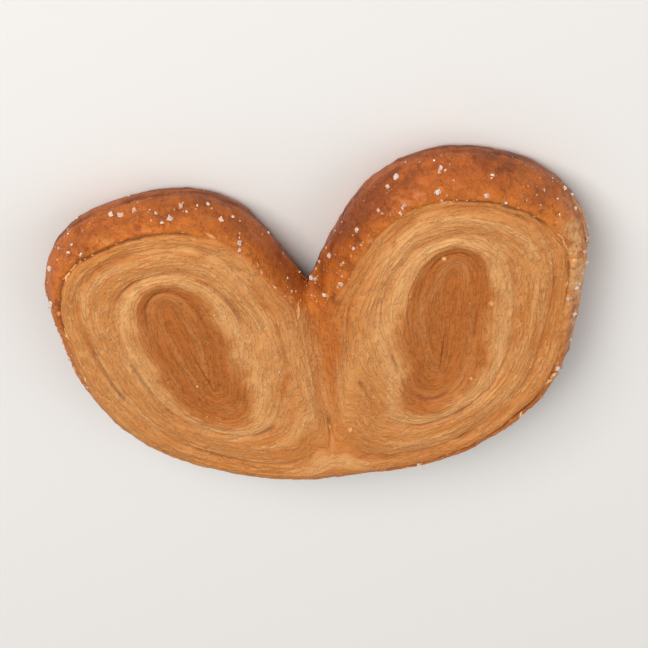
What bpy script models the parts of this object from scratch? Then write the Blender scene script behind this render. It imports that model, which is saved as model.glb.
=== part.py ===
"""A palmier, lying on the side that was baked against the tray.

A sheet of puff pastry is rolled up from both ends until the two rolls meet, and the log is cut
into slices. Each slice opens in the oven into two round lobes with a notch between them, over a
blunt base where the outer layer of the sheet runs straight across from one roll to the other.

Metres, +Z up. +X runs across the lobes and +Y from the base to the lobe tops. The origin is under
the middle of the pastry, on the surface that it lies on.
"""

import math

import bmesh
import bpy
import numpy as np

# Size of the whole pastry.
WIDTH = 0.080
HEIGHT = 0.058
THICKNESS = 0.011

# The outline of the right half: a full, blunt lower curve, the lobe's arc and the notch's side.
LOBE_RADIUS = 0.0180
LOBE_CENTRE = (0.0218, 0.0400)
BLUNTNESS = 2.25  # 2 makes the lower curve a quarter of an ellipse, and more makes it fuller
NOTCH_BOTTOM = 0.0376

# The roll inside each lobe, which closes on a short fold line.
FOLD_LOWER = (0.0172, 0.0200)
FOLD_UPPER = (0.0214, 0.0425)
TURNS = 4
BASE_JUNCTION = 0.0076  # how high the layer that crosses between the rolls is
SOFTNESS = 0.085  # how far the innermost turn's corners are rounded, as a share of the loop
WAVER = 0.10  # how far the turns stray from even spacing, in turns

# The rounded edge: how far in it starts, and how far it drops, on each side.
TOP_EDGE = (0.0034, 0.0040)
TRAY_EDGE = (0.0022, 0.0026)
RIM_BULGE = 0.0003

# Relief: the swollen turns, the valley between the rolls and the hollow at each core.
RIDGE = 0.0007
TRAY_RIDGE = 0.0011
TRAY_FLAT = 0.5  # the share of a ridge's height that the tray pressed flat
VALLEY = 0.0012
VALLEY_WIDTH = 0.0022
HOLLOW = 0.0010
HOLLOW_SPAN = 0.30

# Unevenness: the left lobe is the smaller and thinner, and the dough wandered as it rose.
SMALLER_LEFT = 0.035
THINNER_LEFT = 0.06
SWELL = 0.0004
WANDER = 0.0005

# Mesh steps.
FINE_STEP = 0.00015  # between the points that a loop is worked out from
LOOP_STEP = 0.0030
CENTRE_STEPS = (0.00035, 0.00095, 0.0019, 0.0034)  # from each end of the centre line
TURN_DEPTHS = (0.05, 0.13, 0.27, 0.5, 0.75)  # rows across the outermost turn
ROWS_PER_TURN = 4
RIM_ROWS = 3


def evenly_spaced(path, count):
    """The path, as count points the same distance apart along it."""
    along = np.concatenate([[0], np.cumsum(np.linalg.norm(np.diff(path, axis=0), axis=1))])
    wanted = np.linspace(0, along[-1], count)
    return np.stack([np.interp(wanted, along, path[:, axis]) for axis in (0, 1)], axis=1)


def half_edge():
    """The free edge of the right half, from the base's middle round the lobe to the notch."""
    across, up = LOBE_CENTRE[0] + LOBE_RADIUS, LOBE_CENTRE[1]
    turn = np.linspace(0, math.pi / 2, 200)
    lower = np.stack(
        [
            across * np.sin(turn) ** (2 / BLUNTNESS),
            up * (1 - np.cos(turn) ** (2 / BLUNTNESS)),
        ],
        axis=1,
    )
    # The lobe's arc ends where the notch's straight side touches it.
    rise = LOBE_CENTRE[1] - NOTCH_BOTTOM
    away = math.hypot(LOBE_CENTRE[0], rise)
    arc_end = math.pi + math.atan2(rise, LOBE_CENTRE[0]) - math.acos(LOBE_RADIUS / away)
    angle = np.linspace(0, arc_end, 200)[1:]
    lobe = np.stack(
        [
            LOBE_CENTRE[0] + LOBE_RADIUS * np.cos(angle),
            LOBE_CENTRE[1] + LOBE_RADIUS * np.sin(angle),
        ],
        axis=1,
    )
    return np.concatenate([lower, lobe, [(0.0, NOTCH_BOTTOM)]])


def half_loop():
    """Points a fine step apart round the right half: its free edge, then down the centre line.

    Returns the points and the number of the one at the bottom of the notch.
    """
    edge = half_edge()
    edge_length = np.linalg.norm(np.diff(edge, axis=0), axis=1).sum()
    edge_steps, centre_steps = round(edge_length / FINE_STEP), round(NOTCH_BOTTOM / FINE_STEP)
    centre_line = np.array([(0.0, NOTCH_BOTTOM), (0.0, 0.0)])
    loop = np.concatenate(
        [evenly_spaced(edge, edge_steps + 1), evenly_spaced(centre_line, centre_steps + 1)[1:-1]]
    )
    return loop, edge_steps


def stations(count, notch):
    """The numbers of the fine points that carry vertices, crowded at both ends of the centre
    line, where the rounded edge crosses it. Returns them and how many are on the free edge."""
    on_edge = np.linspace(0, notch, round(notch * FINE_STEP / LOOP_STEP) + 1)
    ends = np.array(CENTRE_STEPS) / FINE_STEP
    between = (count - notch) - 2 * ends[-1]
    middle = np.linspace(0, between, round(between * FINE_STEP / LOOP_STEP) + 1)[1:-1] + ends[-1]
    on_centre = np.concatenate([ends, middle, (count - notch) - ends[::-1]])
    return np.rint([*on_edge, *(notch + on_centre)]).astype(int), len(on_edge)


def softened(loop, width):
    """The closed loop with its corners rounded off, by damping its short waves."""
    waves = np.fft.fft(loop[:, 0] + 1j * loop[:, 1])
    number = np.fft.fftfreq(len(loop), 1 / len(loop))
    smooth = np.fft.ifft(waves * np.exp(-((2 * math.pi * width * number) ** 2) / 2))
    return np.stack([smooth.real, smooth.imag], axis=1)


def on_fold(points):
    """The point of the fold line that each point's layer closes on."""
    lower, upper = np.array(FOLD_LOWER), np.array(FOLD_UPPER)
    middle, reach = (lower + upper) / 2, (upper - lower) / 2
    share = np.tanh((points - middle) @ reach / (reach @ reach) / 2)
    return middle + share[:, None] * reach


def smooth_step(value):
    value = np.clip(value, 0, 1)
    return value * value * (3 - 2 * value)


def turn_loop(loop, depth):
    """The loop at a depth given in turns: 0 is the outline, and TURNS is the fold line."""
    inward = depth / TURNS
    soft = softened(loop, SOFTNESS * inward)
    core = on_fold(soft)
    along = np.arange(len(loop)) * 2 * math.pi / len(loop)
    stray = WAVER / TURNS * math.sin(math.pi * inward) * np.sin(2 * along + 2.2 * depth)
    return core + (soft - core) * (1 - inward + stray)[:, None]


def crossing(loop, notch, depth):
    """0 round the loop, rising to 1 down the centre line, where the sheet moves in by one turn.

    The outer layer crosses to the other half at the very foot, and the inner turns move in
    along the whole height of the centre line.
    """
    reach = BASE_JUNCTION + (NOTCH_BOTTOM - BASE_JUNCTION) * smooth_step(depth / 2)
    cross = np.clip(1 - loop[:, 1] / reach, 0, 1)
    cross[:notch] = 0
    return cross


def distance_to(path, points):
    """How far each point is from the nearest stretch of the path."""
    starts, steps = path[:-1], np.diff(path, axis=0)
    offsets = points[:, None] - starts[None]
    share = np.clip((offsets * steps).sum(2) / (steps * steps).sum(1), 0, 1)
    return np.linalg.norm(offsets - share[..., None] * steps, axis=2).min(axis=1)


def edge_drop(distance, edge):
    reach, drop = edge
    inside = 1 - np.clip(distance / reach, 0, 1)
    return drop * (1 - np.sqrt(1 - inside**2))


def valley(points):
    """1 along the centre line, where the two rolls meet, and 0 on the layer that crosses it."""
    above_junction = smooth_step(points[:, 1] / BASE_JUNCTION - 0.8)
    return above_junction * np.exp(-((points[:, 0] / VALLEY_WIDTH) ** 2))


def hollow(depth):
    return math.exp(-(((1 - depth / TURNS) / HOLLOW_SPAN) ** 2))


def turn_ridges(depth, cross):
    """1 on the crest of each turn and 0 between turns, dying out where the roll closes."""
    closing = smooth_step((depth - TURNS + 1.5) / 1.5)
    return np.abs(np.sin(math.pi * (depth - cross))) * (1 - closing)


def top_height(points, distance, depth, ridges):
    return (
        THICKNESS
        - RIDGE * (1 - ridges)
        - VALLEY * valley(points)
        - HOLLOW * hollow(depth)
        - edge_drop(distance, TOP_EDGE)
    )


def tray_height(points, distance, depth, ridges):
    lift = TRAY_RIDGE * (TRAY_FLAT - ridges) + VALLEY * valley(points) + HOLLOW * hollow(depth)
    return np.maximum(lift, 0) + edge_drop(distance, TRAY_EDGE)


def half_rows():
    """The rows of points of the right half, as (top rows, rim rows, tray rows).

    Top and tray rows are closed loops, listed from the outline in to the fold. A rim row runs
    along the free edge only, and its two ends are on the centre line.
    """
    fine, notch = half_loop()
    free_edge = fine[: notch + 1]
    chosen, edge_count = stations(len(fine), notch)
    depths = [0.0, *TURN_DEPTHS]
    depths += [1 + row / ROWS_PER_TURN for row in range(ROWS_PER_TURN * (TURNS - 1))]
    top, tray = [], []
    for depth in depths:
        flat = turn_loop(fine, depth)[chosen]
        distance = distance_to(free_edge, flat)
        ridges = turn_ridges(depth, crossing(fine, notch, depth)[chosen])
        for rows, height in ((top, top_height), (tray, tray_height)):
            rows.append(np.column_stack([flat, height(flat, distance, depth, ridges)]))
    upper, lower = top[0][:edge_count], tray[0][:edge_count]
    outward = np.zeros_like(upper)
    outward[1:-1, :2] = upper[1:-1, :2] - on_fold(upper[1:-1, :2])
    outward[1:-1] /= np.linalg.norm(outward[1:-1], axis=1)[:, None]
    rim = []
    for share in np.linspace(0, 1, RIM_ROWS + 1)[1:-1]:
        bulge = RIM_BULGE * math.sin(math.pi * share)
        rim.append(upper + (lower - upper) * share + outward * bulge)
    return top, rim, tray


def band(bm, outer, inner, closed):
    """Faces between two rows of vertices that run the same way."""
    last = len(outer) if closed else len(outer) - 1
    for i in range(last):
        j = (i + 1) % len(outer)
        bm.faces.new((outer[i], outer[j], inner[j], inner[i]))


def half_pastry(bm):
    top, rim, tray = ([[bm.verts.new(p) for p in row] for row in rows] for rows in half_rows())
    for rows in (top, tray):
        for outer, inner in zip(rows, rows[1:]):
            band(bm, outer, inner, closed=True)
        core = bm.faces.new(rows[-1])
        bmesh.ops.poke(bm, faces=[core])
    edge_count = len(rim[0])
    walls = [top[0][:edge_count], *rim, tray[0][:edge_count]]
    for upper, lower in zip(walls, walls[1:]):
        band(bm, upper, lower, closed=False)


def uneven(co):
    """A point of the even pastry, moved as the dough wandered and swelled in the oven."""
    side = math.tanh(co.x / LOBE_RADIUS)
    co.x *= 1 + SMALLER_LEFT * side
    co.y += (co.y - NOTCH_BOTTOM) * SMALLER_LEFT * side
    co.z *= 1 + THINNER_LEFT * side
    x, y, height = 2 * co.x / WIDTH, co.y / HEIGHT, co.z / THICKNESS
    co.x += WANDER * (math.sin(7.1 * y + 1.3 * x) + 0.5 * math.sin(5.3 * x + 9.7 * y + 1))
    co.y += WANDER * (math.sin(3.9 * x + 0.6) + 0.6 * math.sin(9.2 * x + 4.1 * y))
    co.z += SWELL * height * (math.sin(2.6 * x + 3.1 * y) + 0.7 * math.sin(6.4 * x - 5.2 * y + 2))


def fitted(bm):
    """Centres the pastry over the origin and brings it to its driving sizes."""
    points = np.array([v.co for v in bm.verts])
    low, high = points.min(axis=0), points.max(axis=0)
    scale = np.array([WIDTH, HEIGHT, THICKNESS]) / (high - low)
    middle = np.array([(low[0] + high[0]) / 2, (low[1] + high[1]) / 2, low[2]])
    for vertex, point in zip(bm.verts, points):
        vertex.co = (point - middle) * scale


def baked_pastry():
    material = bpy.data.materials.new("baked_pastry")
    material.use_nodes = True
    shader = material.node_tree.nodes["Principled BSDF"]
    shader.inputs["Base Color"].default_value = (0.56, 0.23, 0.065, 1)
    shader.inputs["Roughness"].default_value = 0.6
    shader.inputs["Metallic"].default_value = 0
    return material


def palmier():
    bm = bmesh.new()
    half_pastry(bm)
    bmesh.ops.mirror(bm, geom=bm.verts[:] + bm.edges[:] + bm.faces[:], axis="X", merge_dist=1e-6)
    for vertex in bm.verts:
        uneven(vertex.co)
    fitted(bm)
    bmesh.ops.recalc_face_normals(bm, faces=bm.faces)
    mesh = bpy.data.meshes.new("palmier")
    bm.to_mesh(mesh)
    bm.free()
    mesh.shade_smooth()
    mesh.materials.append(baked_pastry())
    return bpy.data.objects.new("palmier", mesh)


def main():
    for obj in list(bpy.data.objects):
        bpy.data.objects.remove(obj)
    collection = bpy.data.collections.new("palmier")
    bpy.context.scene.collection.children.link(collection)
    collection.objects.link(palmier())


main()
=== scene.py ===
# %% [markdown]
# # A palmier
#
# A palmier is a sheet of puff pastry, strewn with sugar and rolled up from both ends until the two
# rolls meet. The log is cut into slices, and each slice bakes lying on its cut side. So every
# palmier has the same parts: two round lobes with a notch between them, a blunt base, a pale upper
# face where the cut layers show, a rim where the sugared outside of the sheet has caramelised, and
# a dark underside that lay on the tray.
#
# This lesson makes one in Blender. Everything is in metres, with the pastry lying on its tray side,
# +X across the lobes and +Y from the base to the lobe tops.

import math

import bpy
import numpy as np
from mathutils import Matrix, Vector


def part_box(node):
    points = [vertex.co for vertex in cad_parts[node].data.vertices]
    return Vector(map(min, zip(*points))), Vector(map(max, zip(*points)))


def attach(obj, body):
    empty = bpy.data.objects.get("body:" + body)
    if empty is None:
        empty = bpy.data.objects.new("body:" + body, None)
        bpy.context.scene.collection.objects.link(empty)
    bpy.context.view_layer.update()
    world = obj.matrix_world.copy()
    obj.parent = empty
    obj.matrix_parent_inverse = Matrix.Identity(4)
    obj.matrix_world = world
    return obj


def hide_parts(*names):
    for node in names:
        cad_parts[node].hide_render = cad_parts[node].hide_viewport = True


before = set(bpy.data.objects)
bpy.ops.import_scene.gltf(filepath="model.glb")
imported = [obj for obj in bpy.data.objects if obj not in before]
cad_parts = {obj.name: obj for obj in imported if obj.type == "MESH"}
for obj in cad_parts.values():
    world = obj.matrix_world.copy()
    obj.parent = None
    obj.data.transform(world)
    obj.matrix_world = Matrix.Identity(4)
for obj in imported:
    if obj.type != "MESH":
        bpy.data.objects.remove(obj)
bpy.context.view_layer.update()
MM = 0.001

# %% [markdown]
# ## The outline
#
# Seen from above, each half is a full, blunt lower curve that runs into the lobe's round top, and
# the lobe's arc comes down to the notch. It could be drawn by hand as a curve, but a few named
# sizes give the same shape and are easier to change: a superellipse for the lower curve, an arc
# for the lobe and one straight stretch for the side of the notch.

# %% Sizes of the outline
LOBE_RADIUS = 18.0 * MM
LOBE_CENTRE = (21.8 * MM, 40.0 * MM)
BLUNTNESS = 2.25  # 2 makes the lower curve a quarter of an ellipse, and more makes it fuller
NOTCH_BOTTOM = 37.6 * MM
HEIGHT = LOBE_CENTRE[1] + LOBE_RADIUS
FINE_STEP = 0.12 * MM


def half_edge():
    """The free edge of the right half, from the base's middle round the lobe to the notch."""
    across, up = LOBE_CENTRE[0] + LOBE_RADIUS, LOBE_CENTRE[1]
    turn = np.linspace(0, math.pi / 2, 300)
    lower_x = across * np.sin(turn) ** (2 / BLUNTNESS)
    lower_y = up * (1 - np.cos(turn) ** (2 / BLUNTNESS))
    rise = LOBE_CENTRE[1] - NOTCH_BOTTOM
    away = math.hypot(LOBE_CENTRE[0], rise)
    arc_end = math.pi + math.atan2(rise, LOBE_CENTRE[0]) - math.acos(LOBE_RADIUS / away)
    angle = np.linspace(0, arc_end, 300)[1:]
    x = np.concatenate([lower_x, LOBE_CENTRE[0] + LOBE_RADIUS * np.cos(angle), [0]])
    y = np.concatenate([lower_y, LOBE_CENTRE[1] + LOBE_RADIUS * np.sin(angle), [NOTCH_BOTTOM]])
    return np.stack([x, y], axis=1)


print("points on the free edge:", len(half_edge()))

# %% The half as a closed loop of points a fine step apart


def evenly_spaced(path, count):
    """The path, as count points the same distance apart along it."""
    along = np.concatenate([[0], np.cumsum(np.linalg.norm(np.diff(path, axis=0), axis=1))])
    wanted = np.linspace(0, along[-1], count)
    return np.stack([np.interp(wanted, along, path[:, axis]) for axis in (0, 1)], axis=1)


edge = half_edge()
edge_length = np.linalg.norm(np.diff(edge, axis=0), axis=1).sum()
notch = round(edge_length / FINE_STEP)
centre_steps = round(NOTCH_BOTTOM / FINE_STEP)
centre_line = evenly_spaced(np.array([(0.0, NOTCH_BOTTOM), (0.0, 0.0)]), centre_steps + 1)
loop = np.concatenate([evenly_spaced(edge, notch + 1), centre_line[1:-1]])
free_edge = loop[: notch + 1]
print("free edge", round(edge_length / MM), "mm, loop of", len(loop), "points")

# %% [markdown]
# ## The rolled turns
#
# Inside each lobe the sheet is rolled up, so its turns follow the outline inwards and grow longer
# and softer until they close on a short fold. A spiral curve could be swept to make them, but the
# surface would not close. Here each turn is the outline itself, shrunk towards the fold line and
# with its corners rounded by damping the loop's short waves.
#
# At the base the outer layer crosses from one roll to the other, so down the centre line the sheet
# moves in by one turn. `crossing` counts that, and keeps every layer's line unbroken.

# %% From the outline to the fold
FOLD_LOWER = np.array((17.2, 20.0)) * MM
FOLD_UPPER = np.array((21.4, 42.5)) * MM
TURNS = 4
SOFTNESS = 0.085
WAVER = 0.10
BASE_JUNCTION = 7.6 * MM
CROSSING_SOFT = 8.0 * MM


def smooth_step(value):
    value = np.clip(value, 0, 1)
    return value * value * (3 - 2 * value)


def softened(points, width):
    """The closed loop with its corners rounded off, by damping its short waves."""
    waves = np.fft.fft(points[:, 0] + 1j * points[:, 1])
    number = np.fft.fftfreq(len(points), 1 / len(points))
    smooth = np.fft.ifft(waves * np.exp(-((2 * math.pi * width * number) ** 2) / 2))
    return np.stack([smooth.real, smooth.imag], axis=1)


def on_fold(points):
    """The point of the fold line that each point's layer closes on."""
    middle, reach = (FOLD_LOWER + FOLD_UPPER) / 2, (FOLD_UPPER - FOLD_LOWER) / 2
    share = np.tanh((points - middle) @ reach / (reach @ reach) / 2)
    return middle + share[:, None] * reach


def turn_loop(depth):
    """The loop at a depth given in turns: 0 is the outline, and TURNS is the fold line."""
    inward = depth / TURNS
    soft = softened(loop, SOFTNESS * inward)
    core = on_fold(soft)
    around = np.arange(len(loop)) * 2 * math.pi / len(loop)
    stray = WAVER / TURNS * math.sin(math.pi * inward) * np.sin(2 * around + 2.2 * depth)
    return core + (soft - core) * (1 - inward + stray)[:, None]


def crossing(depth):
    """0 round the loop, rising to 1 down the centre line, where the sheet moves in by one turn.

    The rise is softened at both ends, which carries it a little way on round the loop.
    """
    reach = BASE_JUNCTION + (NOTCH_BOTTOM - BASE_JUNCTION) * smooth_step(depth / 2)
    cross = np.clip(1 - loop[:, 1] / reach, 0, 1)
    cross[:notch] = 0
    unbroken = np.concatenate([cross[notch // 2 :], np.ones(notch // 2)])
    spread = np.exp(-(np.linspace(-2, 2, round(CROSSING_SOFT / FINE_STEP)) ** 2))
    unbroken = np.pad(unbroken, len(spread) // 2, "edge")
    soft = np.convolve(unbroken, spread / spread.sum(), "valid")[: len(loop)]
    return np.roll(soft, notch // 2)


turn_width = np.linalg.norm(loop[notch // 3] - on_fold(loop)[notch // 3]) / TURNS
print("one turn is about", round(turn_width / MM, 1), "mm wide")

# %% [markdown]
# ## The crust
#
# The whole body is one closed surface. It is made of rows of points: closed rows on the face and
# on the tray side, from the edge in to the fold, and open rows down the rim. The rows lie close
# together because thin layers will be raised along them, and further apart round the loop, where
# little changes. Each point also keeps a few numbers, such as its turn and how far in from the
# edge it is, and the layers and the colours are worked out from those. The turn is kept as an
# angle's cosine and sine, so that it has no jump where one turn ends and the next begins.

# %% The rounded edge and the big relief
THICKNESS = 11.0 * MM
TOP_EDGE = (3.4 * MM, 4.0 * MM)  # how far in the rounding starts, and how far it drops
TRAY_EDGE = (2.2 * MM, 2.6 * MM)
RIM_BULGE = 0.3 * MM
FACE_RIDGE = 0.40 * MM
TRAY_RIDGE = 1.1 * MM
TRAY_FLAT = 0.5
VALLEY = 1.6 * MM
VALLEY_WIDTH = 2.6 * MM
HOLLOW = 1.0 * MM
HOLLOW_SPAN = 0.30


def distance_to(path, points):
    """How far each point is from the nearest stretch of the path."""
    starts, steps = path[:-1], np.diff(path, axis=0)
    offsets = points[:, None] - starts[None]
    share = np.clip((offsets * steps).sum(2) / (steps * steps).sum(1), 0, 1)
    return np.linalg.norm(offsets - share[..., None] * steps, axis=2).min(axis=1)


def edge_drop(inset, rounding):
    reach, drop = rounding
    inside = 1 - np.clip(inset / reach, 0, 1)
    return drop * (1 - np.sqrt(1 - inside**2))


def valley(points):
    """1 along the centre line, where the two rolls meet, and 0 on the layer that crosses it."""
    above_junction = smooth_step(points[:, 1] / BASE_JUNCTION - 0.8)
    return above_junction * np.exp(-((points[:, 0] / VALLEY_WIDTH) ** 2))


def hollow(depth):
    return math.exp(-(((1 - depth / TURNS) / HOLLOW_SPAN) ** 2))


def turn_ridges(depth, cross):
    """1 on the crest of each turn and 0 between turns, dying out where the roll closes."""
    closing = smooth_step((depth - TURNS + 1.5) / 1.5)
    return np.abs(np.sin(math.pi * (depth - cross))) * (1 - closing)


def face_height(points, inset, depth, ridges):
    sunk = FACE_RIDGE * (1 - ridges) + VALLEY * valley(points) + HOLLOW * hollow(depth)
    return THICKNESS - sunk - edge_drop(inset, TOP_EDGE)


def tray_height(points, inset, depth, ridges):
    lift = TRAY_RIDGE * (TRAY_FLAT - ridges) + VALLEY * valley(points) + HOLLOW * hollow(depth)
    return np.maximum(lift, 0) + edge_drop(inset, TRAY_EDGE)


# %% Which fine points carry vertices
LOOP_STEP = 0.64 * MM
CENTRE_STEPS = np.array((0.12, 0.35, 0.75, 1.3)) * MM


def stations():
    """The numbers of the fine points that carry vertices, and how many are on the free edge."""
    on_edge = np.linspace(0, notch, round(notch * FINE_STEP / LOOP_STEP) + 1)
    ends = CENTRE_STEPS / FINE_STEP
    between = (len(loop) - notch) - 2 * ends[-1]
    middle = np.linspace(0, between, round(between * FINE_STEP / LOOP_STEP) + 1)[1:-1]
    on_centre = np.concatenate([ends, middle + ends[-1], (len(loop) - notch) - ends[::-1]])
    return np.rint([*on_edge, *(notch + on_centre)]).astype(int), len(on_edge)


chosen, edge_count = stations()
print(len(chosen), "points round each half,", edge_count, "of them on the free edge")

# %% The rows of the right half
FACE_ROWS = (0.0, 0.02, 0.05, 0.09, 0.13, 0.17, *np.arange(0.21, 3.0, 0.028))
FACE_ROWS += tuple(np.arange(3.0, 3.95, 0.06))
TRAY_ROWS = (0.0, 0.03, 0.08, 0.15, 0.24, *np.arange(0.35, 3.95, 0.125))
RIM_ROWS = 30


def around_direction(points):
    """The way that the layers run at each point of a closed row."""
    ahead = np.roll(points, -1, axis=0) - np.roll(points, 1, axis=0)
    return ahead / np.linalg.norm(ahead, axis=1)[:, None]


def flat_rows(depths, height, side):
    """Closed rows of points. Each is x, y, z, the turn's cosine and sine, the depth, the inset in
    mm, the side and the way that its layer runs."""
    rows = []
    for depth in depths:
        flat = turn_loop(depth)[chosen]
        inset = distance_to(free_edge[::4], flat)
        cross = crossing(depth)[chosen]
        up = height(flat, inset, depth, turn_ridges(depth, cross))
        ones = np.ones(len(flat))
        angle = 2 * math.pi * (depth - cross)
        facts = [np.cos(angle), np.sin(angle), ones * depth, inset / MM, ones * side]
        rows.append(np.column_stack([flat, up, *facts, around_direction(flat)]))
    return rows


face_rows = flat_rows(FACE_ROWS, face_height, 1)
tray_rows = flat_rows(TRAY_ROWS, tray_height, -1)
print(len(face_rows), "face rows and", len(tray_rows), "tray rows")

# %% The rim between them


def rim_rows():
    """Open rows down the free edge. The two ends of each are on the centre line."""
    upper, lower = face_rows[0][:edge_count], tray_rows[0][:edge_count]
    outward = np.zeros((edge_count, upper.shape[1]))
    away = upper[1:-1, :2] - on_fold(upper[1:-1, :2])
    outward[1:-1, :2] = away / np.linalg.norm(away, axis=1)[:, None]
    rows = []
    for share in np.linspace(0, 1, RIM_ROWS + 1)[1:-1]:
        bulge = RIM_BULGE * math.sin(math.pi * share)
        rows.append(upper + (lower - upper) * share + outward * bulge)
    return rows


walls = [face_rows[0][:edge_count], *rim_rows(), tray_rows[0][:edge_count]]
print("rim rows:", len(walls) - 2)

# %% [markdown]
# The faces are the quads between neighbouring rows. The left half is the right half's mirror image
# with its faces turned round, and the two share the points on the centre line. The innermost row
# is closed by a fan round one more point.

# %% Points and faces of the right half
right_points = []


def number_rows(rows):
    """Adds the rows' points, and returns each row as their numbers."""
    numbered = []
    for row in rows:
        first = len(right_points)
        right_points.extend(row)
        numbered.append(np.arange(first, first + len(row)))
    return numbered


def quads_between(outer, inner, closed):
    if closed:
        outer, inner = np.append(outer, outer[0]), np.append(inner, inner[0])
    return np.stack([outer[:-1], outer[1:], inner[1:], inner[:-1]], axis=1)


def fan(row):
    """Triangles that close a row round a point at its middle."""
    right_points.append(np.mean([right_points[i] for i in row], axis=0))
    middle = np.full(len(row), len(right_points) - 1)
    return np.stack([row, np.roll(row, -1), middle], axis=1)


face_numbers, tray_numbers = number_rows(face_rows), number_rows(tray_rows)
rim_numbers = number_rows(walls[1:-1])
face_quads = [quads_between(a, b, True) for a, b in zip(face_numbers, face_numbers[1:])]
tray_quads = [quads_between(a, b, True)[:, ::-1] for a, b in zip(tray_numbers, tray_numbers[1:])]
down = [face_numbers[0][:edge_count], *rim_numbers, tray_numbers[0][:edge_count]]
rim_quads = [quads_between(a, b, False)[:, ::-1] for a, b in zip(down, down[1:])]
quads = np.concatenate([*face_quads, *tray_quads, *rim_quads])
fans = np.concatenate([fan(face_numbers[-1]), fan(tray_numbers[-1])[:, ::-1]])
right_points = np.array(right_points)
print("right half:", len(right_points), "points,", len(quads), "quads")

# %% The left half, joined on along the centre line
on_centre = np.abs(right_points[:, 0]) < 1e-9
right_points[on_centre, 0] = 0
left_points = right_points.copy()
left_points[:, [0, 8]] *= -1
left_number = np.where(on_centre, np.arange(len(right_points)), -1)
left_number[~on_centre] = len(right_points) + np.arange((~on_centre).sum())
points = np.concatenate([right_points, left_points[~on_centre]])
faces = [*quads.tolist(), *fans.tolist()]
faces += left_number[quads[:, ::-1]].tolist() + left_number[fans[:, ::-1]].tolist()
print("whole pastry:", len(points), "points")

# %% [markdown]
# Nothing baked is even. The left lobe is a little smaller and thinner than the right one, and the
# dough wandered as it rose. A few slow sine waves move the points, and then the whole is brought
# to its real size.

# %% Uneven, and fitted to its size
SMALLER_LEFT = 0.035
THINNER_LEFT = 0.06
SWELL = 0.4 * MM
WANDER = 0.5 * MM


def uneven(place):
    """The even pastry's points, moved as the dough wandered and swelled in the oven."""
    x, y, z = place.T.copy()
    side = np.tanh(x / LOBE_RADIUS)
    x *= 1 + SMALLER_LEFT * side
    y += (y - NOTCH_BOTTOM) * SMALLER_LEFT * side
    z *= 1 + THINNER_LEFT * side
    u, v, height = x / (40 * MM), y / HEIGHT, z / THICKNESS
    x += WANDER * (np.sin(7.1 * v + 1.3 * u) + 0.5 * np.sin(5.3 * u + 9.7 * v + 1))
    y += WANDER * (np.sin(3.9 * u + 0.6) + 0.6 * np.sin(9.2 * u + 4.1 * v))
    z += SWELL * height * (np.sin(2.6 * u + 3.1 * v) + 0.7 * np.sin(6.4 * u - 5.2 * v + 2))
    return np.stack([x, y, z], axis=1)


node_low, node_high = (np.array(corner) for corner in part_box("palmier"))
place = uneven(points[:, :3])
place_low, place_high = place.min(axis=0), place.max(axis=0)
place = (place - place_low) / (place_high - place_low) * (node_high - node_low) + node_low
print("fitted, mm:", np.round((place.max(axis=0) - place.min(axis=0)) / MM, 1))

# %% The crust as a mesh that keeps each point's numbers
crust_mesh = bpy.data.meshes.new("crust")
crust_mesh.from_pydata(place.tolist(), [], faces)
for column, name in enumerate(("turn_cosine", "turn_sine", "depth", "inset", "side"), 3):
    crust_mesh.attributes.new(name, "FLOAT", "POINT").data.foreach_set("value", points[:, column])
layer_way = np.column_stack([points[:, 8:10], np.zeros(len(points))])
along = crust_mesh.attributes.new("layer_way", "FLOAT_VECTOR", "POINT")
along.data.foreach_set("vector", layer_way.ravel())
crust_mesh.shade_smooth()
crust = bpy.data.objects.new("crust", crust_mesh)
bpy.context.scene.collection.objects.link(crust)
print("crust:", len(crust_mesh.polygons), "faces")

# %% [markdown]
# ## A shorthand for node trees
#
# Both the layers and the colours are formulas, and a formula takes many small nodes. `Wire` stands
# for a number that flows through a tree, so that writing `a * b + c` adds the nodes for it. The
# same shorthand serves geometry nodes and shader nodes.

# %% Wires


def plug(tree, value, socket):
    """Gives a socket a link or a plain value."""
    if isinstance(value, Wire):
        tree.links.new(value.socket, socket)
    else:
        socket.default_value = value


def add_node(tree, kind, sockets=None, **settings):
    """Adds a node, with its settings and its sockets by name or number."""
    node = tree.nodes.new(kind)
    for name, value in settings.items():
        setattr(node, name, value)
    for name, value in (sockets or {}).items():
        plug(tree, value, node.inputs[name])
    return node


class Wire:
    """A value in a node tree. Arithmetic on it adds Math nodes."""

    def __init__(self, tree, socket):
        self.tree, self.socket = tree, socket

    def maths(self, operation, *others):
        values = dict(enumerate((self, *others)))
        node = add_node(self.tree, "ShaderNodeMath", values, operation=operation)
        return Wire(self.tree, node.outputs[0])

    def __add__(self, other):
        return self.maths("ADD", other)

    def __sub__(self, other):
        return self.maths("SUBTRACT", other)

    def __mul__(self, other):
        return self.maths("MULTIPLY", other)

    def __truediv__(self, other):
        return self.maths("DIVIDE", other)

    def less_from(self, other):
        """other - self"""
        return (self * -1) + other

    def between(self, low, high, start=0.0, end=1.0):
        """Rises smoothly from start to end as the value goes from low to high."""
        node = add_node(
            self.tree,
            "ShaderNodeMapRange",
            {0: self, 1: low, 2: high, 3: start, 4: end},
            interpolation_type="SMOOTHSTEP",
        )
        return Wire(self.tree, node.outputs[0])

    def bell(self, centre, width):
        """1 at the centre, falling smoothly to 0 a few widths away."""
        off = (self - centre) / width
        return (off * off * -1).maths("EXPONENT")


def vector(tree, x, y, z):
    node = add_node(tree, "ShaderNodeCombineXYZ", {0: x, 1: y, 2: z})
    return Wire(tree, node.outputs[0])


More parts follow.
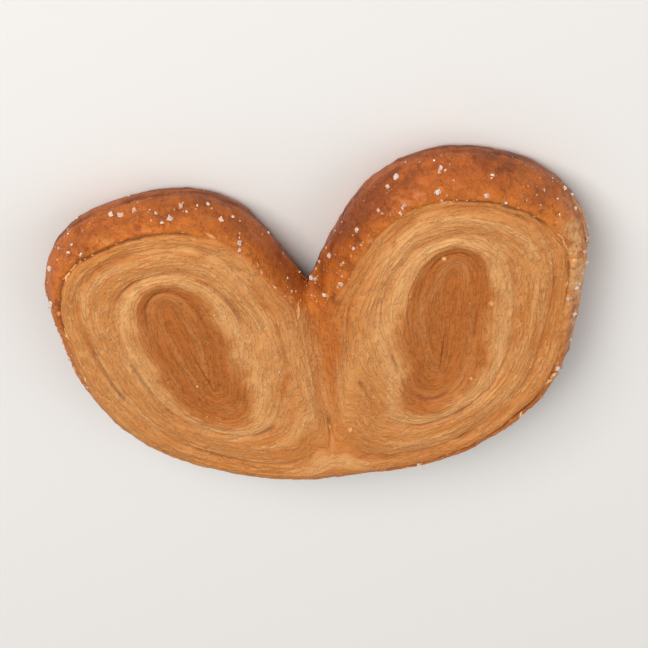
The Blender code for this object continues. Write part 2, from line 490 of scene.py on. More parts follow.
def noise(tree, where, size, detail=2.0, seed=0.0, roughness=0.5):
    """Cloudy noise from 0 to 1. size is how large its features are."""
    sockets = {"Vector": where, "W": seed, "Scale": 1 / size, "Detail": detail}
    sockets["Roughness"] = roughness
    node = add_node(tree, "ShaderNodeTexNoise", sockets, noise_dimensions="4D")
    return Wire(tree, node.outputs[0])


def layer_noise(tree, x, y, turn, length, per_turn, detail=2.0, seed=0.0):
    """Noise drawn out along the layers, and the same on both sides of a seam between turns.

    The turn becomes an angle on a circle, so the pattern meets itself where the sheet moves in by
    one turn down the centre line.
    """
    angle = turn * (2 * math.pi)
    round_x = angle.maths("COSINE") * (per_turn / 6.28)
    round_y = angle.maths("SINE") * (per_turn / 6.28) + seed * 7.3
    where = vector(tree, x / length, y / length, round_x)
    node = add_node(
        tree,
        "ShaderNodeTexNoise",
        {"Vector": where, "W": round_y, "Scale": 1.0, "Detail": detail},
        noise_dimensions="4D",
    )
    return Wire(tree, node.outputs[0])


print("wires ready")

# %% [markdown]
# ## The layers
#
# Butter keeps the dough in hundreds of leaves, and on the cut face they part in the oven. What
# shows is a fan of fine raised lines along every turn, a crack where two turns meet, and a lip
# where the sugared outside stands away from the face. All of it follows the rolled turns, so it is
# one rule for the whole surface, and geometry nodes apply it: they push each point along its
# normal by a height worked out from the point's turn and inset.

# %% A new tree for geometry nodes


def geometry_tree(name, inputs):
    """A tree with a geometry in and out, and named number inputs with their usual values."""
    tree = bpy.data.node_groups.new(name, "GeometryNodeTree")
    tree.interface.new_socket("Geometry", in_out="INPUT", socket_type="NodeSocketGeometry")
    tree.interface.new_socket("Geometry", in_out="OUTPUT", socket_type="NodeSocketGeometry")
    for label, usual in inputs.items():
        whole = isinstance(usual, int)
        kind = "NodeSocketInt" if whole else "NodeSocketFloat"
        socket = tree.interface.new_socket(label, in_out="INPUT", socket_type=kind)
        socket.default_value = usual
    start = tree.nodes.new("NodeGroupInput")
    given = {label: Wire(tree, start.outputs[label]) for label in ("Geometry", *inputs)}
    return tree, given


def finished(tree, geometry, material):
    """Ends the tree: instances made real, and the material put on."""
    real = add_node(tree, "GeometryNodeRealizeInstances", {"Geometry": geometry})
    painted = add_node(
        tree,
        "GeometryNodeSetMaterial",
        {"Geometry": Wire(tree, real.outputs[0]), "Material": material},
    )
    end = tree.nodes.new("NodeGroupOutput")
    tree.links.new(painted.outputs[0], end.inputs[0])


def stored(tree, name, kind="FLOAT"):
    """A number that the points keep."""
    node = add_node(tree, "GeometryNodeInputNamedAttribute", {"Name": name}, data_type=kind)
    return Wire(tree, node.outputs["Attribute"])


def turn_from(read, tree):
    """The turn, counted from the nearest seam: 0 on it, and 0.5 or -0.5 on the crest."""
    return read(tree, "turn_sine").maths("ARCTAN2", read(tree, "turn_cosine")) / (2 * math.pi)


def place_of(tree):
    """Where each point is, in millimetres: the whole vector, then x, y and z."""
    position = tree.nodes.new("GeometryNodeInputPosition")
    scaled = add_node(
        tree,
        "ShaderNodeVectorMath",
        {0: Wire(tree, position.outputs[0]), 1: (1000, 1000, 1000)},
        operation="MULTIPLY",
    )
    split = add_node(tree, "ShaderNodeSeparateXYZ", {0: Wire(tree, scaled.outputs[0])})
    return Wire(tree, scaled.outputs[0]), *(Wire(tree, socket) for socket in split.outputs)


print("geometry tree helpers ready")

# %% [markdown]
# These rules are used twice, once for the relief and once for the colours, so that the two agree.
# The lip is where the brown rim gives way to the pale face. At the lobe tops the rim rolls a good
# way over the edge, and at the base and flanks it is only a thin border. The leaves are the dough's
# layers: each rises slowly and drops at its edge, and some lift more than others. The partings are
# hair lines between finer leaves. The middle seam is where the two rolls' sugared outsides met
# below the notch.

# %% Rules that the relief and the colours share


def lip_place(tree, where, x, y):
    """How far in from the edge the lip is, in millimetres."""
    wobble = noise(tree, where, 7.0, seed=3.0) * 1.8 + noise(tree, where, 1.6, seed=4.0) * 0.7
    return y.between(-12.0, 20.0, 1.0, 2.5) + x.between(-30.0, 20.0, -1.6, 0.0) + wobble - 0.4


def leaves(tree, where, x, y, turn, per_turn=6.0):
    """How far across its leaf each point is, from 0 to 1, and how much that leaf lifts there."""
    drift = noise(tree, where, 6.0, seed=5.0) + noise(tree, where, 1.5, detail=5.0, seed=6.0) * 0.70
    across = ((turn + drift * 0.20) * per_turn).maths("FRACT")
    lift = layer_noise(tree, x, y, turn, 7.0, 7.0, detail=3.0, seed=1.0).between(0.42, 0.66)
    patchy = noise(tree, where, 3.2, detail=3.0, seed=10.0).between(0.38, 0.56, 0.10, 1.0)
    return across, lift * patchy * (calm(x, y) * -0.85 + 1.0)


def calm(x, y):
    """1 round the middle of the base, where the two rolls press on the sheet and no leaf lifts."""
    return (x - 0.5).bell(0.0, 7.0) * y.between(-2.0, -12.0)


def partings(tree, where, x, y, turn):
    """A pattern drawn out along the leaves. Where it passes 0.5, one leaf parts from the next."""
    frayed = turn + (noise(tree, where, 1.3, detail=3.0, seed=11.0) - 0.5) * 0.14
    return layer_noise(tree, x, y, frayed, 4.0, 8.0, detail=3.0, seed=4.0)


def middle_seam(tree, where, x, y):
    """1 along the seam below the notch, narrowing and fading towards the base."""
    sway = (noise(tree, where, 6.0, seed=7.0) - 0.5) * 3.0 + 0.5
    width = y.between(-9.0, 8.0, 1.0, 4.4)
    return (x - sway).bell(0.0, width) * y.between(-19.0, -2.0)


# %% The tree that raises the layers
LAYER_INPUTS = {
    "Leaf Height": 0.25,
    "Strand Height": 0.12,
    "Puffs": 0.32,
    "Seam Depth": 0.28,
    "Lip Depth": 0.45,
    "Rim Lumps": 0.34,
    "Blisters": 0.22,
    "Seed": 5.0,
}


def layer_tree(material):
    tree, given = geometry_tree("baked_layers", LAYER_INPUTS)
    where, x, y, z = place_of(tree)
    inset, side = (stored(tree, name) for name in ("inset", "side"))
    turn, seed = turn_from(stored, tree), given["Seed"]
    lip = lip_place(tree, where, x, y)
    on_face = (inset - lip).between(-0.3, 0.8)
    above = side.between(0.6, 1.0)

    # Leaves rise slowly and drop at their edges, with fine strands along them.
    across, lift = leaves(tree, where, x, y, turn)
    leaf = across.between(0.0, 0.72) * across.between(1.0, 0.80)
    frayed = turn + (noise(tree, where, 1.1, detail=3.0, seed=11.0) - 0.5) * 0.16
    strands = layer_noise(tree, x, y, frayed, 3.0, 22.0, detail=3.0, seed=2.0)
    lines = leaf * lift * given["Leaf Height"] + (strands - 0.5) * given["Strand Height"]
    lines = lines + (noise(tree, where, 1.5, detail=3.0, seed=9.0) - 0.5) * given["Puffs"]
    lines = lines * on_face * side.between(-0.5, 0.5, 0.4, 1.0)

    # The crack between two turns opens and closes along its way.
    off_seam = turn.maths("ABSOLUTE") * 4.6
    open_here = noise(tree, where, 9.0, seed=seed + 2.0).between(0.46, 0.64)
    seam = off_seam.bell(0.0, 0.26) * open_here * inset.between(2.0, 4.0)

    # The lip stands away from the face where the crust lifted.
    lifted = noise(tree, where, 8.0, seed=seed + 4.0).between(0.40, 0.60, 0.25, 1.0)
    lifted = lifted * ((x - 0.5).bell(0.0, 5.0) * y.between(14.0, 8.0)).less_from(1.0)
    crack = (inset - lip).bell(0.15, 0.28) * lifted * above
    curl = (inset - lip).bell(-0.55, 0.5) * lifted * above

    # Sugar boiled and set in lumps and blisters on the rim and the tray side.
    blister = add_node(
        tree,
        "ShaderNodeTexVoronoi",
        {"Vector": where, "Scale": 0.62, "Smoothness": 0.3},
        feature="SMOOTH_F1",
    )
    blister = Wire(tree, blister.outputs["Distance"]).between(0.0, 0.60, 1.0, 0.0)
    sugary = (on_face * side.between(-1.0, 0.0)).less_from(1.0)
    boiled = noise(tree, where, 7.0, seed=8.0).between(0.42, 0.62)
    lumps = (noise(tree, where, 2.6, detail=3.0, seed=seed + 6.0) - 0.5) * 2.0
    rough = lumps * given["Rim Lumps"] + blister * boiled * given["Blisters"]

    height = lines - seam * given["Seam Depth"] - crack * given["Lip Depth"]
    height = height + curl * (given["Lip Depth"] * 0.35) + rough * sugary
    height = height - 0.14
    # What lies on the tray is pressed flat.
    height = height * z.between(0.05, 0.7)

    normal = tree.nodes.new("GeometryNodeInputNormal")
    push = add_node(
        tree,
        "ShaderNodeVectorMath",
        {0: Wire(tree, normal.outputs[0]), "Scale": height * MM},
        operation="SCALE",
    )
    moved = add_node(
        tree,
        "GeometryNodeSetPosition",
        {"Geometry": given["Geometry"], "Offset": Wire(tree, push.outputs[0])},
    )
    geometry = Wire(tree, moved.outputs[0])
    for name, value in {"relief": height, "crack": crack + seam * 0.6}.items():
        kept = add_node(
            tree,
            "GeometryNodeStoreNamedAttribute",
            {"Geometry": geometry, "Name": name, "Value": value},
            data_type="FLOAT",
            domain="POINT",
        )
        geometry = Wire(tree, kept.outputs[0])
    finished(tree, geometry, material)
    return tree


# %% [markdown]
# ## The baked crust
#
# Colour on a palmier is heat and sugar. The face is tan where bare dough dried out, with paler
# strands along the layers. Painted light on the face stands in for its fine relief: a painted
# highlight on each lifted leaf and on one edge of each parting, and painted shade at a leaf's foot,
# in the partings and in the open cracks. Sugar between the turns browned to orange, most of all at
# the core. The rim caramelised all over, and the tray side most of all, because it lay on hot
# metal. One material makes all of this from the numbers that the points keep, so every colour
# follows the rolled turns. A painted image would do it too, but it would not follow a changed size.

# %% Colours, as linear red, green and blue
TAN = (0.64, 0.272, 0.080, 1)
# The pale of the leaves, also used as a painted highlight on them.
PALE_LEAF_AND_HIGHLIGHT = (0.79, 0.43, 0.170, 1)
GOLDEN = (0.54, 0.190, 0.040, 1)
# Sugar seam orange, also used as painted shade at the foot of each leaf.
SUGAR_SEAM_AND_SHADE = (0.45, 0.122, 0.018, 1)
CORE = (0.45, 0.128, 0.019, 1)
# Rim caramel, also used as painted shade in the partings on the face.
RIM_CARAMEL_AND_SHADE = (0.45, 0.108, 0.016, 1)
RIM_BURNT = (0.190, 0.037, 0.005, 1)
RIM_ORANGE = (0.52, 0.140, 0.016, 1)
AMBER = (0.66, 0.200, 0.026, 1)
TRAY_CARAMEL = (0.40, 0.108, 0.026, 1)
TRAY_BURNT = (0.15, 0.031, 0.006, 1)
SHADE = (0.095, 0.021, 0.004, 1)


def mixed(tree, share, first, second):
    """Colour that goes from first to second as share goes from 0 to 1."""
    node = add_node(
        tree, "ShaderNodeMix", {0: share, 6: first, 7: second}, data_type="RGBA", clamp_factor=True
    )
    return Wire(tree, node.outputs[2])


def kept(tree, name):
    """A number that the points keep, read by a shader."""
    node = add_node(tree, "ShaderNodeAttribute", attribute_name=name)
    return Wire(tree, node.outputs["Fac"])


def object_place(tree):
    """Where the surface is, in millimetres: the whole vector, then x, y and z."""
    coordinates = tree.nodes.new("ShaderNodeTexCoord")
    scaled = add_node(
        tree,
        "ShaderNodeVectorMath",
        {0: Wire(tree, coordinates.outputs["Object"]), 1: (1000, 1000, 1000)},
        operation="MULTIPLY",
    )
    split = add_node(tree, "ShaderNodeSeparateXYZ", {0: Wire(tree, scaled.outputs[0])})
    return Wire(tree, scaled.outputs[0]), *(Wire(tree, socket) for socket in split.outputs)


def new_material(name):
    material = bpy.data.materials.new(name)
    material.use_nodes = True
    return material, material.node_tree, material.node_tree.nodes["Principled BSDF"]


print("colours ready")

# %% The baked crust's colour, zone by zone


def face_colour(tree, where, x, y, turn, depth):
    """Tan leaves, browner towards the core, with sugar seams between the turns."""
    frayed = turn + (noise(tree, where, 1.1, detail=3.0, seed=11.0) - 0.5) * 0.16
    strands = layer_noise(tree, x, y, frayed, 4.0, 18.0, detail=4.0, seed=2.0)
    broad = layer_noise(tree, x, y, turn, 16.0, 4.0, detail=1.0, seed=3.0)
    patches = noise(tree, where, 12.0, seed=9.0)
    browner = y.between(-8.0, -26.0, 0.0, 0.8) + x.between(18.0, 36.0, 0.0, 0.4)
    colour = mixed(tree, patches.between(0.36, 0.66) * 0.7 + browner, TAN, GOLDEN)
    colour = mixed(tree, broad.between(0.45, 0.68) * 0.50, colour, PALE_LEAF_AND_HIGHLIGHT)
    colour = mixed(tree, strands.between(0.52, 0.70) * 0.26, colour, PALE_LEAF_AND_HIGHLIGHT)
    colour = mixed(tree, strands.between(0.46, 0.32) * 0.20, colour, SUGAR_SEAM_AND_SHADE)
    across, lift = leaves(tree, where, x, y, turn)
    # Painted light on each lifted leaf: a painted highlight on its crest and painted shade at its foot.
    colour = mixed(tree, across.between(0.50, 0.85) * lift * 0.42, colour, PALE_LEAF_AND_HIGHLIGHT)
    colour = mixed(tree, across.bell(0.96, 0.08) * lift * 0.50, colour, SUGAR_SEAM_AND_SHADE)
    hair = partings(tree, where, x, y, turn)
    fine = (calm(x, y) * -0.7 + 1.0) * noise(tree, where, 4.0, seed=13.0).between(0.36, 0.60, 0.2, 1.0)
    # Along the partings: a painted highlight on one edge, and a thin line of painted shade in the parting.
    colour = mixed(tree, hair.bell(0.54, 0.035) * fine * 0.45, colour, PALE_LEAF_AND_HIGHLIGHT)
    colour = mixed(tree, hair.bell(0.50, 0.018) * fine * 0.30, colour, RIM_CARAMEL_AND_SHADE)
    # Spots that stood highest in the heat are toasted.
    toast = noise(tree, where, 1.5, detail=4.0, seed=9.0, roughness=0.65)
    colour = mixed(tree, toast.between(0.50, 0.68) * 0.45, colour, GOLDEN)
    colour = mixed(tree, toast.between(0.60, 0.74) * 0.35, colour, RIM_ORANGE)
    off_seam = turn.maths("ABSOLUTE") * 4.6
    broken = noise(tree, where, 6.0, seed=12.0).between(0.38, 0.62)
    colour = mixed(tree, off_seam.bell(0.0, 0.55) * broken * 0.6, colour, SUGAR_SEAM_AND_SHADE)
    # The core browned more, inside a paler line.
    core_edge = depth + (noise(tree, where, 5.0, seed=14.0) - 0.5) * 0.9
    colour = mixed(tree, core_edge.bell(2.22, 0.22) * 0.40, colour, PALE_LEAF_AND_HIGHLIGHT)
    in_core = core_edge.between(2.35, 2.85) * broad.between(0.66, 0.42, 0.80, 1.0)
    return mixed(tree, in_core * 0.92, colour, CORE)


def rim_colour(tree, where, x, y, z, to_lip):
    """Caramel, light to burnt, more orange towards the lip, with pores and bare patches.

    The larger lobe's flank baked against another pastry, so its leaves stayed pale there, and its
    shoulder is amber.
    """
    patches = noise(tree, where, 8.0, detail=4.0, seed=20.0, roughness=0.6)
    blotches = noise(tree, where, 2.4, detail=4.0, seed=21.0, roughness=0.65)
    specks = noise(tree, where, 0.8, detail=3.0, seed=22.0, roughness=0.7)
    burnt = patches.between(0.42, 0.62) * 0.85 + blotches.between(0.50, 0.70) * 0.50
    burnt = burnt + x.between(-8.0, -34.0, 0.0, 0.16)
    colour = mixed(tree, burnt, RIM_CARAMEL_AND_SHADE, RIM_BURNT)
    colour = mixed(tree, to_lip.between(-3.4, -0.2) * blotches.between(0.30, 0.55), colour, RIM_ORANGE)
    bare = blotches.between(0.56, 0.70) * to_lip.between(-2.6, -0.6)
    colour = mixed(tree, bare * 0.55, colour, TAN)
    shoulder = x.bell(32.0, 5.5) * y.bell(17.0, 7.0)
    colour = mixed(tree, shoulder * patches.between(0.62, 0.40) * 0.8, colour, AMBER)
    flank = x.between(33.0, 38.0) * y.between(22.0, 15.0) * y.between(-12.0, -2.0)
    edges = noise(tree, vector(tree, x / 7.0, y / 7.0, z / 0.7), 1.0, detail=3.0, seed=24.0)
    pale = flank * z.between(2.5, 5.0) * blotches.between(0.36, 0.56)
    colour = mixed(tree, pale * edges.between(0.35, 0.55, 0.35, 0.9), colour, PALE_LEAF_AND_HIGHLIGHT)
    colour = mixed(tree, specks.between(0.56, 0.72) * 0.40, colour, GOLDEN)
    return mixed(tree, specks.between(0.44, 0.28) * 0.65, colour, RIM_BURNT)


def tray_colour(tree, where, x, y, turn, depth):
    """Dark caramel, lighter on the crests of the turns and darker towards the core."""
    strands = layer_noise(tree, x, y, turn, 8.0, 14.0, detail=3.0, seed=6.0)
    crest = (turn * math.pi).maths("SINE").maths("ABSOLUTE")
    burnt = strands.between(0.35, 0.65) + depth.between(1.6, 3.4) * 0.8 - crest * 0.35
    colour = mixed(tree, burnt, TRAY_CARAMEL, TRAY_BURNT)
    specks = noise(tree, where, 1.4, detail=3.0, seed=31.0)
    return mixed(tree, specks.between(0.55, 0.75) * 0.35, colour, RIM_CARAMEL_AND_SHADE)


# %% The baked crust's material


def baked_crust():
    material, tree, shader = new_material("baked_crust")
    where, x, y, z = object_place(tree)
    depth, inset = (kept(tree, name) for name in ("depth", "inset"))
    side, crack = (kept(tree, name) for name in ("side", "crack"))
    turn = turn_from(kept, tree)

    to_lip = inset - lip_place(tree, where, x, y)
    above = side.between(0.85, 0.98)
    ragged = (noise(tree, where, 3.5, detail=4.0, seed=16.0, roughness=0.6) - 0.5) * 0.9
    below = (side + ragged).between(-0.62, -0.98)
    # The lip is sharp in places, and in others the brown fades into the face.
    fade = noise(tree, where, 7.0, seed=15.0).between(0.42, 0.60, 0.35, 1.3)
    on_face = (to_lip / fade).between(-0.6, 1.0) * above
    rim = rim_colour(tree, where, x, y, z, to_lip)
    face = face_colour(tree, where, x, y, turn, depth)
    # Just inside the lip the face is toasted a little.
    face = mixed(tree, to_lip.between(2.4, 0.0) * 0.6, face, GOLDEN)
    face = mixed(tree, middle_seam(tree, where, x, y) * above * 0.92, face, rim)
    colour = mixed(tree, on_face, rim, face)
    tray = tray_colour(tree, where, x, y, turn, depth)
    colour = mixed(tree, below, colour, tray)
    # Painted shade darkens the open cracks at the lip and between the turns.
    colour = mixed(tree, crack.between(0.15, 1.0) * 0.7, colour, SHADE)
    tree.links.new(colour.socket, shader.inputs["Base Color"])

    # The glaze is glossier than the dry face.
    glaze = noise(tree, where, 2.6, detail=3.0, seed=40.0)
    roughness = on_face.between(0.0, 1.0, 0.44, 0.62) + (glaze - 0.5) * 0.40
    tree.links.new(roughness.socket, shader.inputs["Roughness"])
    shader.inputs["Specular IOR Level"].default_value = 0.24
    shader.inputs["Subsurface Weight"].default_value = 0.06
    shader.inputs["Subsurface Scale"].default_value = 0.8 * MM
    shader.inputs["Subsurface Radius"].default_value = (1.0, 0.45, 0.2)

    grain = noise(tree, where, 0.35, detail=3.0, seed=50.0, roughness=0.6)
    pores = noise(tree, where, 1.1, detail=4.0, seed=51.0, roughness=0.7)
    threads = layer_noise(tree, x, y, turn, 1.8, 18.0, detail=3.0, seed=8.0)
    hair = partings(tree, where, x, y, turn)
    on_rim = on_face.less_from(1.0)
    leafy = threads * 0.13 + hair.between(0.50, 0.56) * 0.07 - hair.bell(0.50, 0.018) * 0.06
    fine = grain * 0.08 + leafy * on_face
    fine = fine + pores.between(0.30, 0.55) * on_rim.between(0.0, 1.0, 0.10, 0.24)
    bump = add_node(
        tree,
        "ShaderNodeBump",
        {"Height": fine * MM, "Strength": 0.9, "Distance": 1.0},
    )
    tree.links.new(bump.outputs["Normal"], shader.inputs["Normal"])
    return material


crust_material = baked_crust()
print("baked crust:", len(crust_material.node_tree.nodes), "nodes")

# %% Raise the layers on the crust


def dressed(obj, tree, **values):
    """Puts the tree on the object, with its inputs set by their identifiers."""
    modifier = obj.modifiers.new(tree.name, "NODES")
    modifier.node_group = tree
    for item in tree.interface.items_tree:
        if item.in_out == "INPUT" and item.name.replace(" ", "_").lower() in values:
            modifier[item.identifier] = values[item.name.replace(" ", "_").lower()]
    return modifier


def settled(obj):
    """Makes what the object's modifiers give into its plain mesh, and takes them off."""
    graph = bpy.context.evaluated_depsgraph_get()
    mesh = bpy.data.meshes.new_from_object(
        obj.evaluated_get(graph), preserve_all_data_layers=True, depsgraph=graph
    )
    obj.modifiers.clear()
    before, obj.data = obj.data, mesh
    bpy.data.meshes.remove(before)
    mesh.name = obj.name
    triangles = sum(len(face.vertices) - 2 for face in mesh.polygons)
    print(obj.name, "has", triangles, "triangles")


dressed(crust, layer_tree(crust_material), leaf_height=0.25, seam_depth=0.28, lip_depth=0.45)
settled(crust)

# %% [markdown]
# ## Sugar crystals
#
# The sheet was rolled in coarse sugar. Most of it melted, and what is left sits on the rim as
# glassy grains, a few alone and many in small clusters, with hardly any on the pale face. Placing
# grains by hand would be slow and would look even. Geometry nodes scatter points, more of them
# where a number says that the spot is sugary, and put a small crystal on each.

# %% The crystals' material


def sugar_glass():
    material, tree, shader = new_material("sugar_crystal")
    where, x, y, z = object_place(tree)
    tint = noise(tree, where, 2.0, seed=60.0)
    colour = mixed(tree, tint.between(0.40, 0.62), (0.88, 0.77, 0.69, 1), (0.82, 0.49, 0.33, 1))
    tree.links.new(colour.socket, shader.inputs["Base Color"])
    frost = noise(tree, where, 0.5, seed=61.0)
    tree.links.new(frost.between(0.3, 0.7, 0.08, 0.38).socket, shader.inputs["Roughness"])
    shader.inputs["IOR"].default_value = 1.54
    shader.inputs["Specular IOR Level"].default_value = 0.8
    shader.inputs["Transmission Weight"].default_value = 0.25
    return material


# %% The tree that scatters grains


def random_number(tree, low, high, seed):
    node = add_node(
        tree,
        "FunctionNodeRandomValue",
        {2: low, 3: high, "Seed": seed},
        data_type="FLOAT",
    )
    return Wire(tree, node.outputs[1])


def random_turn(tree, seed):
    node = add_node(
        tree,
        "FunctionNodeRandomValue",
        {0: (0.0, 0.0, 0.0), 1: (6.28, 6.28, 6.28), "Seed": seed},
        data_type="FLOAT_VECTOR",
    )
    return Wire(tree, node.outputs[0])


def jittered(tree, geometry, amount, size):
    """The shape with its points moved a little, each its own way."""
    position = tree.nodes.new("GeometryNodeInputPosition")
    cloud = add_node(
        tree,
        "ShaderNodeTexNoise",
        {"Vector": Wire(tree, position.outputs[0]), "Scale": 1 / size},
    )
    centred = add_node(
        tree,
        "ShaderNodeVectorMath",
        {0: Wire(tree, cloud.outputs["Color"]), 1: (0.5, 0.5, 0.5)},
        operation="SUBTRACT",
    )
    pushed = add_node(
        tree,
        "ShaderNodeVectorMath",
        {0: Wire(tree, centred.outputs[0]), "Scale": amount},
        operation="SCALE",
    )
    moved = add_node(
        tree,
        "GeometryNodeSetPosition",
        {"Geometry": geometry, "Offset": Wire(tree, pushed.outputs[0])},
    )
    return Wire(tree, moved.outputs[0])


def scattered(tree, given, sugary, grain, size, seed_shift=0):
    """Puts grains on the surface, more where sugary is high. size is a wire in metres."""
    spread = add_node(
        tree,
        "GeometryNodeDistributePointsOnFaces",
        {
            "Mesh": given["Geometry"],
            "Density": sugary * given["Grains per cm2"] * 10000.0,
            "Seed": given["Seed"],
        },
    )
    placed = add_node(
        tree,
        "GeometryNodeInstanceOnPoints",
        {
            "Points": Wire(tree, spread.outputs["Points"]),
            "Instance": grain,
            "Rotation": random_turn(tree, 11 + seed_shift),
            "Scale": size,
        },
    )
    return Wire(tree, placed.outputs[0])


def sugar_tree(material):
    inputs = {"Grains per cm2": 80.0, "Smallest": 0.12, "Largest": 0.85, "Seed": 3}
    tree, given = geometry_tree("sugar_crystals", inputs)
    where, x, y, z = place_of(tree)
    inset, side, depth = (stored(tree, name) for name in ("inset", "side", "depth"))
    lip = lip_place(tree, where, x, y)
    on_rim = (inset - lip).between(0.6, -0.6) * side.between(-0.9, -0.4)
    on_tray = side.between(-0.6, -0.95) * z.between(0.25, 0.6) * 0.35
    clusters = noise(tree, where, 5.0, detail=2.0, seed=70.0).between(0.45, 0.66, 0.10, 1.0)
    sugary = (on_rim + on_tray + 0.035) * clusters * z.between(0.2, 0.6)

    cube = add_node(tree, "GeometryNodeMeshCube", {"Size": (1.0, 0.8, 0.65), "Vertices X": 3})
    grain = jittered(tree, Wire(tree, cube.outputs[0]), 1.1, 0.7)
    share = random_number(tree, 0.0, 1.0, 21).maths("POWER", 3.8)
    size = given["Smallest"] + share * (given["Largest"] - given["Smallest"])
    room = on_rim.between(0.0, 0.6, 0.42, 1.0)
    finished(tree, scattered(tree, given, sugary, grain, size * room * MM), material)
    return tree


sugar = bpy.data.objects.new("sugar_crystals", crust.data.copy())
bpy.context.scene.collection.objects.link(sugar)
dressed(sugar, sugar_tree(sugar_glass()), smallest=0.12, largest=0.85, seed=3)
settled(sugar)

# %% [markdown]
# ## Flakes and crumbs
#
# Where leaves parted, shards of them still cling to the lip and the seams, standing up a little on
# one edge, and a few crumbs lie about. A flake is a thin bent strip, turned so that it runs with
# its layer. Here each point's stored layer way gives that direction.

# %% The flakes' material


def dry_flake():
    material, tree, shader = new_material("dry_flake")
    where, x, y, z = object_place(tree)
    browned = noise(tree, where, 3.0, detail=3.0, seed=80.0)
    colour = mixed(tree, browned.between(0.36, 0.54), PALE_LEAF_AND_HIGHLIGHT, TAN)
    colour = mixed(tree, browned.between(0.50, 0.66), colour, RIM_ORANGE)
    tree.links.new(colour.socket, shader.inputs["Base Color"])
    dryness = noise(tree, where, 1.0, seed=81.0)
    tree.links.new(dryness.between(0.3, 0.7, 0.5, 0.75).socket, shader.inputs["Roughness"])
    grain = noise(tree, where, 0.3, detail=2.0, seed=82.0)
    bump = add_node(tree, "ShaderNodeBump", {"Height": grain * (0.08 * MM), "Distance": 1.0})
    tree.links.new(bump.outputs["Normal"], shader.inputs["Normal"])
    return material


flake_material = dry_flake()

# %% The tree that sets flakes along the layers


def flake_shape(tree):
    """A thin chip, 1 long and 0.28 wide before scaling, bent over its length."""
    strip = add_node(
        tree, "GeometryNodeMeshGrid", {"Size X": 1.0, "Size Y": 0.28, "Vertices X": 9, "Vertices Y": 3}
    )
    position = tree.nodes.new("GeometryNodeInputPosition")
    split = add_node(tree, "ShaderNodeSeparateXYZ", {0: Wire(tree, position.outputs[0])})
    x, y = (Wire(tree, split.outputs[i]) for i in (0, 1))
    narrow = (x * x * 3.4).less_from(1.0)
    offset = vector(tree, x * 0.0, y * (narrow - 1.0), (x * x * -0.35) + (y * y * 1.2))
    bent = add_node(
        tree,
        "GeometryNodeSetPosition",
        {"Geometry": Wire(tree, strip.outputs[0]), "Offset": offset},
    )
    thick = add_node(
        tree,
        "GeometryNodeExtrudeMesh",
        {"Mesh": Wire(tree, bent.outputs[0]), "Offset Scale": 0.03, "Individual": False},
    )
    back = add_node(tree, "GeometryNodeFlipFaces", {"Mesh": Wire(tree, bent.outputs[0])})
    joined = tree.nodes.new("GeometryNodeJoinGeometry")
    tree.links.new(thick.outputs[0], joined.inputs[0])
    tree.links.new(back.outputs[0], joined.inputs[0])
    closed = add_node(
        tree,
        "GeometryNodeMergeByDistance",
        {"Geometry": Wire(tree, joined.outputs[0]), "Distance": 0.001},
    )
    return jittered(tree, Wire(tree, closed.outputs[0]), 0.26, 0.30)


def flake_tree(material):
    inputs = {"Flakes per cm2": 80.0, "Shortest": 0.6, "Longest": 2.4, "Seed": 9}
    tree, given = geometry_tree("flakes", inputs)
    where, x, y, z = place_of(tree)
    inset, side, crack = (stored(tree, name) for name in ("inset", "side", "crack"))
    lip = lip_place(tree, where, x, y)
    by_lip = (inset - lip).bell(0.1, 0.45) * side.between(0.9, 1.0)
    in_seam = crack.between(0.3, 0.8) * 0.4 * side.between(0.9, 1.0)
    clusters = noise(tree, where, 9.0, seed=90.0).between(0.42, 0.62, 0.05, 1.0)
    across, lift = leaves(tree, where, x, y, turn_from(stored, tree))
    on_leaf = across.bell(0.85, 0.08) * lift.between(0.6, 1.0) * side.between(0.9, 1.0) * 0.10
    likely = (by_lip + in_seam + on_leaf) * clusters
    spread = add_node(
        tree,
        "GeometryNodeDistributePointsOnFaces",
        {
            "Mesh": given["Geometry"],
            "Density": likely * given["Flakes per cm2"] * 10000.0,
            "Seed": given["Seed"],
        },
    )
    upright = add_node(
        tree,
        "FunctionNodeAlignRotationToVector",
        {"Rotation": Wire(tree, spread.outputs["Rotation"]), "Vector": stored(tree, "layer_way", "FLOAT_VECTOR")},
        axis="X",
        pivot_axis="Z",
    )
    lean = random_number(tree, -0.30, 0.30, 31)
    yaw = random_number(tree, -0.6, 0.6, 32)
    tilt = add_node(
        tree,
        "FunctionNodeRotateRotation",
        {
            "Rotation": Wire(tree, upright.outputs[0]),
            "Rotate By": vector(tree, lean, random_number(tree, -0.08, 0.08, 33), yaw),
        },
        rotation_space="LOCAL",
    )
    share = random_number(tree, 0.0, 1.0, 34).maths("POWER", 2.0)
    length = (given["Shortest"] + share * (given["Longest"] - given["Shortest"])) * MM
    size = vector(tree, length, length * random_number(tree, 0.6, 1.2, 35), length)
    placed = add_node(
        tree,
        "GeometryNodeInstanceOnPoints",
        {
            "Points": Wire(tree, spread.outputs["Points"]),
            "Instance": flake_shape(tree),
            "Rotation": Wire(tree, tilt.outputs[0]),
            "Scale": size,
        },
    )
    finished(tree, Wire(tree, placed.outputs[0]), material)
    return tree


flakes = bpy.data.objects.new("flakes", crust.data.copy())
bpy.context.scene.collection.objects.link(flakes)
dressed(flakes, flake_tree(flake_material), shortest=0.6, longest=2.4, seed=9)
settled(flakes)

# %% Crumbs


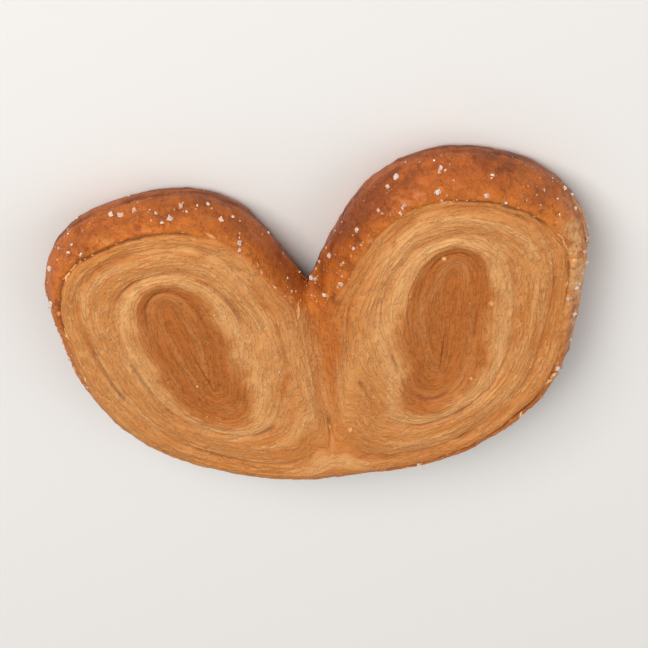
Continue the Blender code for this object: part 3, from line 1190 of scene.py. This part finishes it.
def crumb_tree(material):
    inputs = {"Grains per cm2": 1.6, "Smallest": 0.3, "Largest": 1.0, "Seed": 17}
    tree, given = geometry_tree("crumbs", inputs)
    where, x, y, z = place_of(tree)
    side = stored(tree, "side")
    likely = side.between(0.2, 1.0, 0.25, 1.0) * noise(tree, where, 8.0, seed=95.0).between(0.4, 0.65)
    likely = likely * z.between(1.5, 3.0)
    ball = add_node(tree, "GeometryNodeMeshIcoSphere", {"Radius": 0.5, "Subdivisions": 2})
    crumb = jittered(tree, Wire(tree, ball.outputs[0]), 0.7, 0.45)
    share = random_number(tree, 0.0, 1.0, 41).maths("POWER", 2.5)
    size = (given["Smallest"] + share * (given["Largest"] - given["Smallest"])) * MM
    size = size * z.between(10.2, 11.0, 1.0, 0.5)
    finished(tree, scattered(tree, given, likely, crumb, size, 40), material)
    return tree


crumbs = bpy.data.objects.new("crumbs", crust.data.copy())
bpy.context.scene.collection.objects.link(crumbs)
dressed(crumbs, crumb_tree(flake_material), smallest=0.3, largest=1.0, seed=17)
settled(crumbs)

# %% [markdown]
# ## One pastry
#
# The crust stands for the solid, and everything on it rides along with it.

# %% Fit the pieces to the model
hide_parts("palmier")
for piece in (crust, sugar, flakes, crumbs):
    piece.data.validate()
    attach(piece, "root")
print("pieces:", [piece.name for piece in (crust, sugar, flakes, crumbs)])

# %% [markdown]
# ## Floor, light and camera
#
# A pale, plain floor and broad soft lights show the browns as they are. The camera looks down on
# the face from beyond the lobe tops and is rolled over, so that the lobes point up in the picture
# and the rim shows along their tops.

# %% The floor


def plain_floor():
    material, tree, shader = new_material("pale_floor")
    shader.inputs["Base Color"].default_value = (0.775, 0.762, 0.742, 1)
    shader.inputs["Roughness"].default_value = 0.7
    bpy.ops.mesh.primitive_plane_add(size=3, location=(0, 0, node_low[2]))
    plane = bpy.context.object
    plane.name = "floor"
    plane.data.materials.append(material)
    return plane


floor = plain_floor()

# %% The camera
ABOVE_FACE = math.radians(48)
PICTURE_TURN = math.radians(6.5)
DISTANCE = 0.60
PICTURE_WIDTH = 96 * MM

middle = Vector((0.0, 0.0, 5.0 * MM))
to_camera = Vector((0, math.cos(ABOVE_FACE), math.sin(ABOVE_FACE)))
picture_right = Vector((1, 0, 0))
picture_up = to_camera.cross(picture_right)
right = picture_right * math.cos(PICTURE_TURN) - picture_up * math.sin(PICTURE_TURN)
up = picture_right * math.sin(PICTURE_TURN) + picture_up * math.cos(PICTURE_TURN)
camera = bpy.data.objects.new("camera", bpy.data.cameras.new("camera"))
bpy.context.scene.collection.objects.link(camera)
camera.matrix_world = Matrix.Translation(middle + to_camera * DISTANCE) @ (
    Matrix((right, up, to_camera)).transposed().to_4x4()
)
camera.data.sensor_width = 36
camera.data.lens = 36 * DISTANCE / PICTURE_WIDTH
camera.data.clip_start = 0.01
bpy.context.scene.camera = camera
print("lens", round(camera.data.lens), "mm")

# %% The lights


def soft_light(name, direction, distance, size, power, colour):
    """A square light that faces the pastry from the given direction."""
    data = bpy.data.lights.new(name, "AREA")
    data.size, data.energy, data.color = size, power, colour
    light = bpy.data.objects.new(name, data)
    place = Vector(direction).normalized() * distance
    light.location = place
    light.rotation_euler = place.to_track_quat("Z", "Y").to_euler()
    bpy.context.scene.collection.objects.link(light)


soft_light("key", (-0.45, 0.75, 0.75), 0.9, 0.55, 7.8, (1.0, 0.985, 0.96))
soft_light("fill", (0.8, -0.1, 0.6), 1.0, 0.9, 2.6, (1.0, 0.99, 0.98))
world = bpy.data.worlds.new("studio")
world.use_nodes = True
world.node_tree.nodes["Background"].inputs["Color"].default_value = (1.0, 0.99, 0.98, 1)
world.node_tree.nodes["Background"].inputs["Strength"].default_value = 0.42
bpy.context.scene.world = world
bpy.context.scene.view_settings.view_transform = "Standard"
